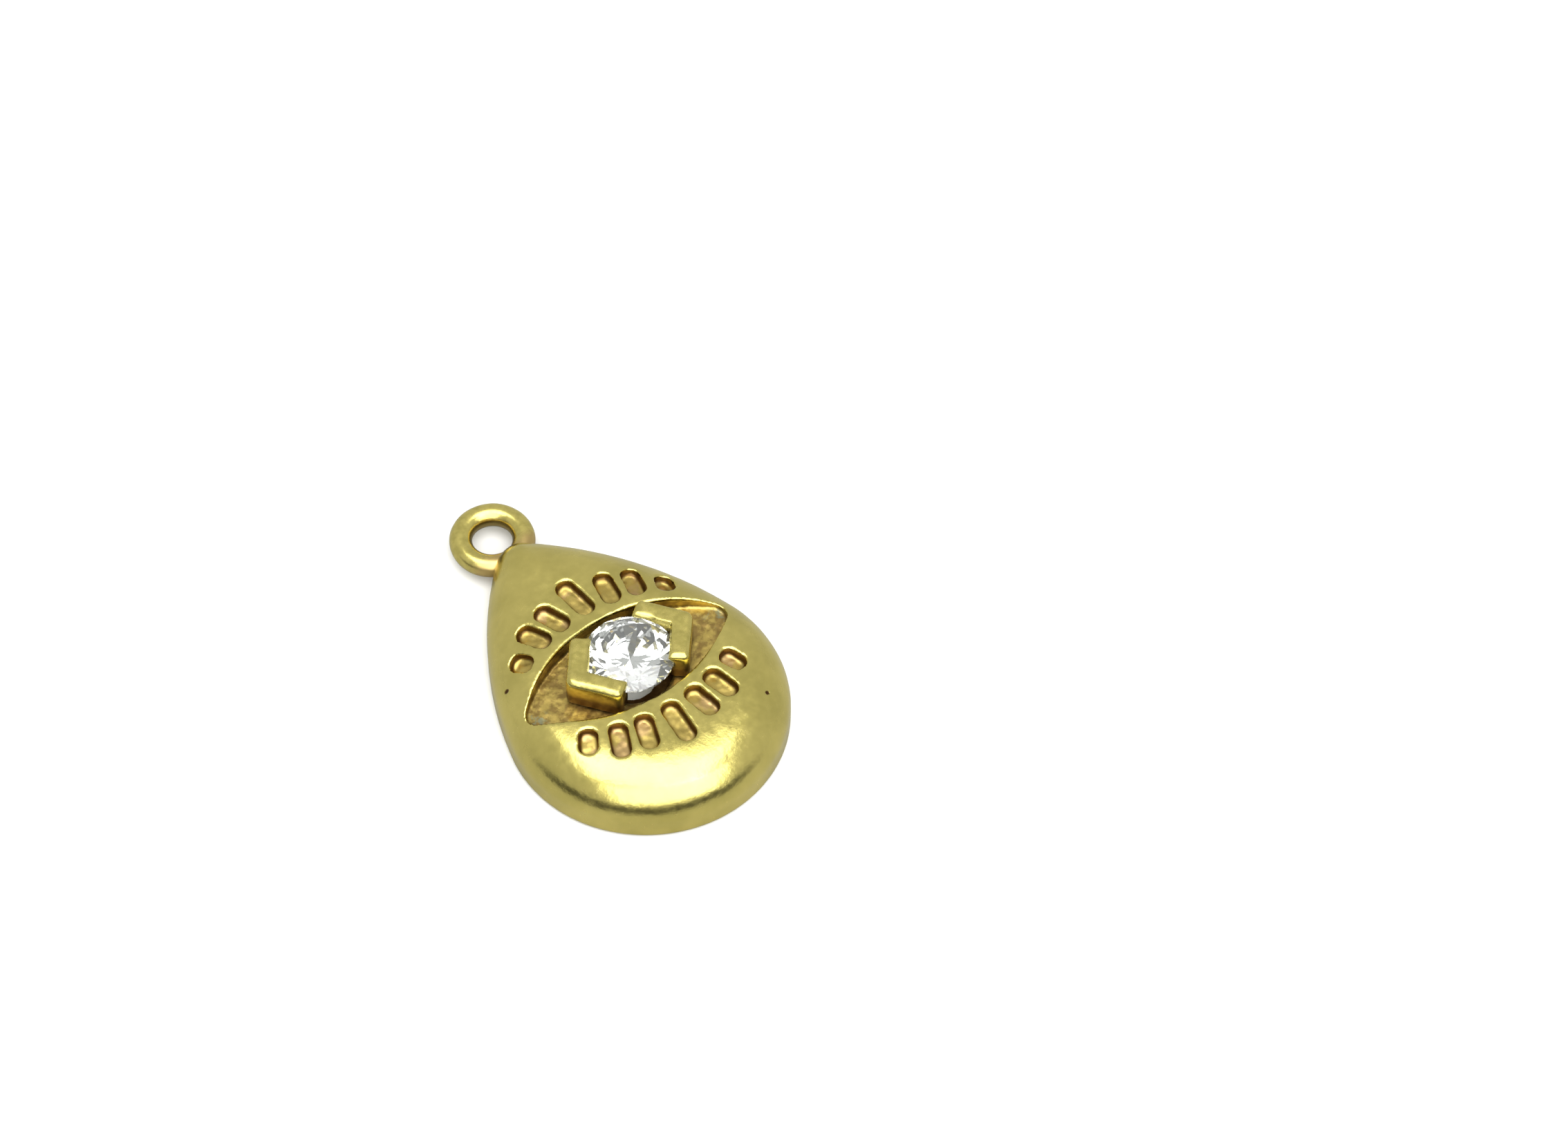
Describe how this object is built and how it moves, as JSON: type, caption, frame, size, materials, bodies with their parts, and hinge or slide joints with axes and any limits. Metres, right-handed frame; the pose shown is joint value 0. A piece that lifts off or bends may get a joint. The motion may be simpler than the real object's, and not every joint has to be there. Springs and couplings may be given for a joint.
{
  "type": "evil eye charm",
  "caption": "Teardrop brass charm with an almond eye recess, fanned lash grooves, a brilliant-cut clear stone held by two V prongs, and a hanging ring at the tip.",
  "frame": {"origin": "centre of the bounding box, on the plane of the flat back", "axes": "+Z out of the flat back towards the stone, +Y along the charm towards the hanging ring, +X across the eye"},
  "size_m": [0.0126, 0.0196, 0.0037],
  "materials": {
    "cast_brass": "raw cast brass, tumbled semi-polish with faint casting marks",
    "prong_brass": "raw brass, polished on the tops, tarnished brown at the foot",
    "wire_brass": "raw brass wire, bright semi-polish",
    "clear_crystal": "clear faceted cubic zirconia, polished"
  },
  "bodies": {
    "root": {"charm_body": "cast_brass", "hanging_ring": "wire_brass", "prong_left": "prong_brass", "prong_right": "prong_brass", "stone": "clear_crystal"}
  },
  "joints": []
}
